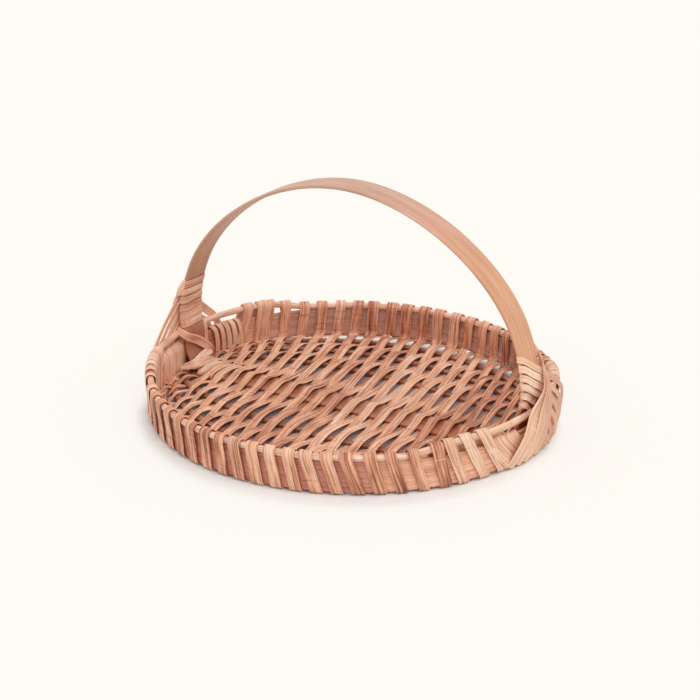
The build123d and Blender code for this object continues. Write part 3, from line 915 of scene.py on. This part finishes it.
def spineStations(number, draw):
    share = number / (spine["strips"] - 1)
    crest, foot = [(start + (end - start) * share) / rimWidth
                   for start, end in (spine["atRod"], spine["atFloor"])]
    layer = spine["layer"] * (number % 3)
    out = Vector((1, 0.1, 0.05)).normalized()
    top = spine["top"] - spine["topStep"] * number
    path = [(atFoot(-1.0, besideFoot + 0.8, top), Vector((0, 1, 0)), 0.45),
            (atFoot(3.4 + layer, besideFoot + 0.4, top - 8), Vector((1, 1, 0)).normalized(), 0.5),
            (Vector((178.4 + layer, 14.0 + share, 72)), out, 0.55),
            (Vector((183.0 + layer, 9.0 + 6 * share, 57)), out, 0.75)]
    for part, offset, level in spine["down"]:
        angle = crest + (foot - crest) * part
        path.append((rimPoint(angle, offset + layer, level), rimNormal(angle), 1.12 + 0.14 * part))
    return dress(path, draw)


def outriderStations(number, draw):
    out = Vector((1, -0.2, 0.15)).normalized()
    path = [(atFoot(outOfFoot + 0.8, 2, 74 - 8 * number), Vector((1, 0, 0.2)), 0.8),
            (Vector((176.6, -16, 58 - 6.4 * number)), out, 0.95)]
    for along, offset, level, fall in spine["behind"]:
        place = rimPoint((11 * number - along) / rimWidth, offset, level - fall * number)
        path.append((place, out, 1.05))
    return dress(path, draw)


wraps = {
    "width": 8.0, "looseCrest": 2.0, "stray": (0.95, 1.05),
    # at the front a fan round the band alone; its first strips are tucked in at the band's edge
    "fanTurns": 7, "tucked": 2, "fanStart": 15.5, "fanStep": 7.3, "fanLean": 22.0,
    # at the back plain turns round the band alone, then close ones over the rod
    "bandTurns": 6, "bandStart": 17.0, "bandStep": 8.8, "closeTurns": (66.0, 73.5, 81.0, 88.5, 96.0, 104.0),
    "rodTurns": ((67.0, 82.0, 98.0), (73.0, 86.0)),    # over band and rod at the front, right and left
    "leanLess": 0.28, "leanFrom": 153.0,
}


# a turn round the band alone, below the lifted rod
def bandTurnStations(outer, top, inner, outerShare, innerShare, draw):
    crest = rim["bandLift"] + rim["bandHeight"] + wraps["looseCrest"] + reedThick / 2
    path = [(outer, 0, underBand, outerShare), (outer, besideBand + 1.6, underBand + 1, outerShare),
            ((outer + top) / 2, besideBand + 2.0, crest / 2, outerShare),
            (top, besideBand + 0.6, crest - 2.5, outerShare),
            (top, 0, crest + 0.2, (outerShare + innerShare) / 2),
            (top * 0.6 + inner * 0.4, -besideBand - 0.9, crest - 3.5, innerShare),
            (inner * 0.85 + top * 0.15, -besideBand - 1.2, crest / 2, innerShare),
            (inner, -besideBand, underBand + 2.5, innerShare)]
    stations = [(rimPoint(angle, offset, level), rimAlong(angle), share * draw.uniform(*wraps["stray"]))
                for angle, offset, level, share in path]
    return smoothStations(stations, ear["step"])


def earWrapStrips(side, rodTurns, draw):
    near = side / rimWidth
    strips, turns = [], []
    if side < 0:
        for turn in range(wraps["fanTurns"]):
            top = wraps["fanStart"] + wraps["fanStep"] * turn + draw.uniform(-0.5, 0.5)
            outer, inner = near * (top - wraps["fanLean"]), near * (top + 6)
            line = bandTurnStations(outer, near * top, inner, 1.1, 0.66, draw)
            strips.append(line[:len(line) // 2] if turn < wraps["tucked"] else line)
        for turn in rodTurns:
            lean = wraps["leanLess"] * (wraps["leanFrom"] - turn)
            turns.append((turn - lean, turn, turn - (11 if turn == rodTurns[0] else 4), 0.9))
    else:
        for turn in range(wraps["bandTurns"]):
            top = wraps["bandStart"] + wraps["bandStep"] * turn + draw.uniform(-0.8, 0.8)
            strips.append(bandTurnStations(near * (top - 3), near * top, near * (top - 2), 1.1, 1.28, draw))
        turns = [(turn - 5, turn, turn - 5, 0.75) for turn in wraps["closeTurns"]]
    for outer, top, inner, share in turns:
        line = wrapStations(near * outer, near * top, near * inner, share, draw)
        strips.append(smoothStations(line, ear["step"]))
    return strips


def halfTurn(strips):
    turned = Vector((-1, -1, 1))
    return [(seed + 50, [(point * turned, across * turned, share) for point, across, share in stations])
            for seed, stations in strips]


def makeEars():
    flat = {"thickness": reedThick, "edgePower": 4.5, "step": ear["step"], "facets": 32,
            "ridgeDepth": 0.5, "ridgeWidth": 1.5, "splitDepth": 0.3}
    plump = dict(flat, thickness=1.7, edgePower=2.6, ridgeDepth=0.4, splitDepth=0.2)
    plumper = dict(plump, thickness=heel["thickness"], edgePower=heel["edgePower"])
    draw = random.Random(ear["seed"])
    coils = [coilStations(turn, draw) for turn in range(ear["turns"])]
    heels = [heelStations(turn, draw) for turn in range(heel["turns"])]
    lashings = [braceStations(draw) + earWrapStrips(-1, rodTurns, draw) + earWrapStrips(1, rodTurns, draw)
                for rodTurns in wraps["rodTurns"]]
    spines = [spineStations(number, draw) for number in range(spine["strips"])]
    crossings = [dress(acrossFoot(turn, barbs["flatLifts"]), draw)
                 for turn in range(barbs["throughFoot"], ear["turns"])]
    stays = []
    for bulge, fullness in barbs["bulges"]:
        stays.append([barbStations(turn, bulge, fullness, draw) for turn in range(ear["turns"])])
        stays[-1] += crossings + spines
    stays[1] += [outriderStations(number, draw) for number in (0, 1)]
    for name, node, pair, width, form, wood, seed in (
            ("earCoil", "ear_coil", (coils, coils), coil["width"], plump, lashingReed, 60.1),
            ("earHeel", "ear_heel", (heels, heels), heel["width"], plumper, lashingReed, 73.4),
            ("earWraps", "ear_wraps", lashings, wraps["width"], flat, lashingReed, 81.9),
            ("earStays", "ear_stays", stays, barbs["width"], flat, spineReed, 112.3)):
        right, left = [[(seed + number * 1.3, line) for number, line in enumerate(lines)] for lines in pair]
        for side, strips in (("Right", right), ("Left", halfTurn(left))):
            sizes = dict(form, width=width)
            makeStrips(name + side, strips, sizes, wood, [f"{node}_{side.lower()}"])


makeEars()
print("stage: ears made")


# floor and light: white paper, a plain sky and one soft sun from the upper right
studio = {
    "paper": "FEFBF4", "nearPaper": "F5F7F6", "shade": "B4A8AA",
    "skyStrength": 0.73, "sunStrength": 0.95, "sunSoftness": 45.0, "sunFrom": (0.35, -0.15, 0.92),
    "floorSize": 14.0, "lit": 0.75, "rimShare": (0.9605, 1.0, 1.0), "shift": (-6.0, 16.0, 0.0),
    "under": 158.0, "near": 170.0, "far": 235.0, "glowFrom": 167.0, "glowTo": 184.0,
}


# white paper that glows in part for the camera, painted light that keeps the shadow soft and close to the rim
# and lifts it sooner at the back and the left;
# under the basket it is matt and painted grey for shade, with a cooler white near the rim where the shadow
# lies, so the gaps in the weave look down into full shade deepened by the painted grey
def makePaper(setup):
    material = bpy.data.materials.new("paperPaintedShade")
    material.use_nodes = True
    tree = material.node_tree
    tree.nodes.clear()
    add = functools.partial(addNode, tree)
    where = add("TexCoord")
    aways = []
    for shift in (Vector((0, 0, 0)), Vector(setup["shift"]) * mm):
        place = add("VectorMath", {0: where.outputs["Object"], 1: setup["rimShare"], 2: shift}, timesPlus)
        aways.append(add("VectorMath", {0: place}, {"operation": "LENGTH"}).outputs["Value"])
    # painted grey under the basket for shade, then a cooler white near the rim where the shadow falls, then
    # plain paper
    reach = add("MapRange", {"Value": aways[0], "From Max": 0.25})
    ramp = add("ValToRGB", {"Fac": reach})
    fillRamp(ramp.color_ramp,
             [(setup["under"] / 250, setup["shade"]), (setup["near"] / 250, setup["nearPaper"]),
              (setup["far"] / 250, setup["paper"])])
    openShare = add("MapRange",
                    {"Value": aways[1], "From Min": setup["glowFrom"] * mm, "From Max": setup["glowTo"] * mm,
                     "To Max": setup["lit"]}, smoothly)
    share = add("Math", {0: openShare, 1: seenShare(add)}, times)
    matt = add("BsdfDiffuse", {"Color": ramp})
    glow = add("Emission", {"Color": linearColour(setup["paper"]), "Strength": 1.0})
    mix = add("MixShader", {0: share, 1: matt, 2: glow})
    add("OutputMaterial", {"Surface": mix})
    return material


def makeStudio(setup):
    world = bpy.data.worlds.new("studio")
    scene.world = world
    world.use_nodes = True
    tree = world.node_tree
    tree.nodes.clear()
    add = functools.partial(addNode, tree)
    light = add("Background", {"Color": (1.0, 1.0, 1.0, 1.0), "Strength": setup["skyStrength"]})
    paper = add("Background", {"Color": linearColour(setup["paper"]), "Strength": 1.0})
    mix = add("MixShader", {0: seenShare(add), 1: light, 2: paper})
    add("OutputWorld", {"Surface": mix})

    sunData = bpy.data.lights.new("softSun", "SUN")
    sunData.energy = setup["sunStrength"]
    sunData.angle = radians(setup["sunSoftness"])
    sun = bpy.data.objects.new("softSun", sunData)
    sun.rotation_mode = "QUATERNION"
    sun.rotation_quaternion = Vector(setup["sunFrom"]).to_track_quat("Z", "Y")
    putInScene(sun)

    half = setup["floorSize"] / 2
    floorMesh = bpy.data.meshes.new("paperFloor")
    floorMesh.from_pydata([(-half, -half, 0), (half, -half, 0), (half, half, 0), (-half, half, 0)], [],
                          [(0, 1, 2, 3)])
    floor = bpy.data.objects.new("paperFloor", floorMesh)
    putInScene(floor)
    floor.data.materials.append(makePaper(setup))


makeStudio(studio)
scene.view_settings.view_transform = "Standard"
print("stage: studio made")
